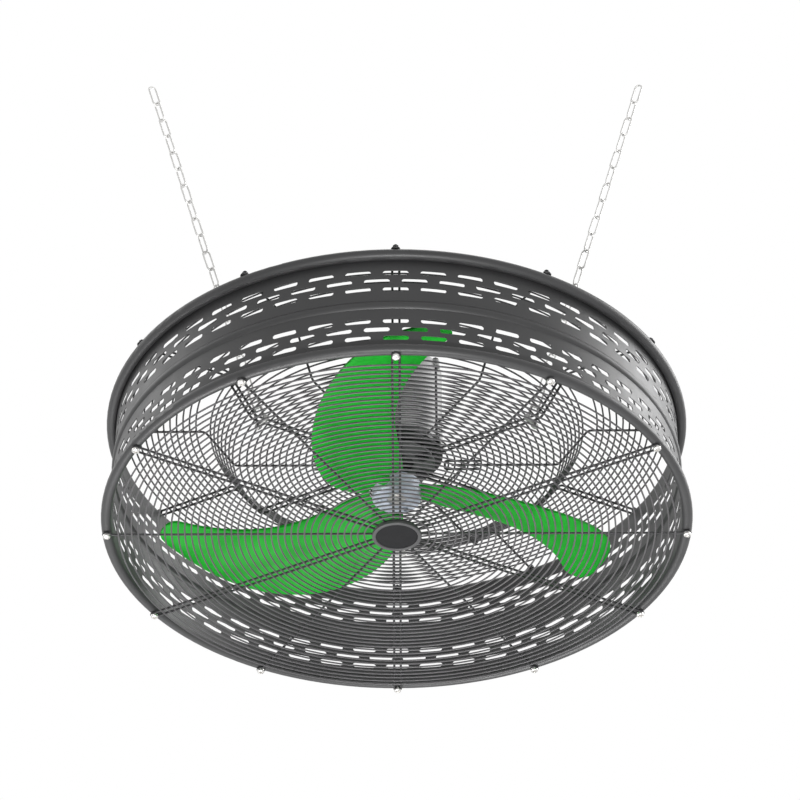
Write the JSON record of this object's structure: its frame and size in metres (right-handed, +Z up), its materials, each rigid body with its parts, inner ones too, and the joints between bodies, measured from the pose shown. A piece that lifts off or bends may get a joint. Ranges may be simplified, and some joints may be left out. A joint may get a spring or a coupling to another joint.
{
  "type": "ceiling fan",
  "caption": "Chain-hung cage ceiling fan: a slotted drum with wire guards front and rear, a motor in the dished rear guard and swept blades on a clamped hub.",
  "frame": {"origin": "on the fan's axis, at the height where the top links bear on their ceiling hooks", "axes": "+Z up along the fan's axis, away from the blades and towards the ceiling; -Y towards the picture's camera"},
  "size_m": [0.882, 0.8879, 0.7087],
  "materials": {
    "drum_coat": "satin grey powder coat",
    "wire_coat": "grey dip coat on steel wire",
    "zinc_screw": "bright zinc",
    "black_screw": "black oxide",
    "cap_face": "fine grain",
    "cap_trim": "semi-gloss",
    "carrier_coat": "satin black",
    "isolator_rubber": "matt",
    "motor_coat": "semi-gloss grey enamel",
    "shield_coat": "satin dark grey on a casting",
    "lamination": "stacked laminations",
    "copper": "enamelled copper wire",
    "bearing_steel": "ground",
    "shaft_steel": "turned",
    "hub_alloy": "turned, satin",
    "blade_green": "semi-gloss",
    "box_plastic": "moulded",
    "gland_plastic": "moulded",
    "block_plastic": "moulded",
    "chain_zinc": "zinc",
    "shackle_steel": "dull galvanised"
  },
  "bodies": {
    "frame": {"drum_shell": "drum_coat", "front_guard_outer_rings": "wire_coat", "front_guard_inner_rings": "wire_coat", "front_guard_hairpins": "wire_coat", "front_guard_singles": "wire_coat", "front_screws": "zinc_screw", "cap_disc": "cap_face", "cap_ring": "cap_trim", "cap_back_plate": "carrier_coat", "cap_screws": "zinc_screw", "rear_guard_rim_rings": "wire_coat", "rear_guard_dish_rings": "wire_coat", "rear_guard_floor_rings": "wire_coat", "rear_guard_hairpins": "wire_coat", "rear_guard_singles": "wire_coat", "rear_guard_lugs": "wire_coat", "rear_studs": "black_screw", "motor_plate": "carrier_coat", "isolators": "isolator_rubber", "mount_screws": "zinc_screw", "motor_housing": "motor_coat", "motor_front_shield": "shield_coat", "motor_rear_shield": "shield_coat", "tie_rods": "black_screw", "stator_core": "lamination", "stator_windings": "copper", "front_bearing_outer": "bearing_steel", "rear_bearing_outer": "bearing_steel", "terminal_box": "box_plastic", "terminal_lid": "box_plastic", "cable_gland": "gland_plastic", "terminal_block": "block_plastic", "lid_screws": "zinc_screw"},
    "fan": {"shaft": "shaft_steel", "rotor_core": "lamination", "shaft_key": "shaft_steel", "hub_rear": "hub_alloy", "hub_front": "hub_alloy", "hub_bolts": "zinc_screw", "hub_washer": "zinc_screw", "shaft_bolt": "zinc_screw", "blade_1": "blade_green", "blade_2": "blade_green", "blade_3": "blade_green", "front_bearing_inner": "bearing_steel", "rear_bearing_inner": "bearing_steel"},
    "bearing_balls": {"front_bearing_balls": "bearing_steel", "rear_bearing_balls": "bearing_steel"},
    "chain_left": {"chain_left": "chain_zinc", "top_link_left": "chain_zinc", "shackle_left": "shackle_steel", "shackle_pin_left": "shackle_steel"},
    "chain_right": {"chain_right": "chain_zinc", "top_link_right": "chain_zinc", "shackle_right": "shackle_steel", "shackle_pin_right": "shackle_steel"},
    "chain_rear": {"chain_rear": "chain_zinc", "top_link_rear": "chain_zinc", "shackle_rear": "shackle_steel", "shackle_pin_rear": "shackle_steel"}
  },
  "joints": [
    {"name": "fan_spin", "type": "hinge", "parent": "frame", "child": "fan", "pos_m": [0, 0, -0.62297], "axis": [0, 0, 1], "continuous": true},
    {"name": "balls_spin", "type": "hinge", "parent": "frame", "child": "bearing_balls", "pos_m": [0, 0, -0.53797], "axis": [0, 0, 1], "continuous": true},
    {"name": "chain_left_swing", "type": "hinge", "parent": "frame", "child": "chain_left", "pos_m": [-0.20005, -0.1155, -0.57702], "axis": [0.5, -0.866, 0], "range_deg": [-20, 0]},
    {"name": "chain_right_swing", "type": "hinge", "parent": "frame", "child": "chain_right", "pos_m": [0.20005, -0.1155, -0.57702], "axis": [0.5, 0.866, 0], "range_deg": [-20, 0]},
    {"name": "chain_rear_swing", "type": "hinge", "parent": "frame", "child": "chain_rear", "pos_m": [0, 0.231, -0.57702], "axis": [-1, 0, 0], "range_deg": [-20, 0]}
  ],
  "couplings": [
    {"joint": "balls_spin", "follows": "fan_spin", "ratio": 0.38149}
  ]
}
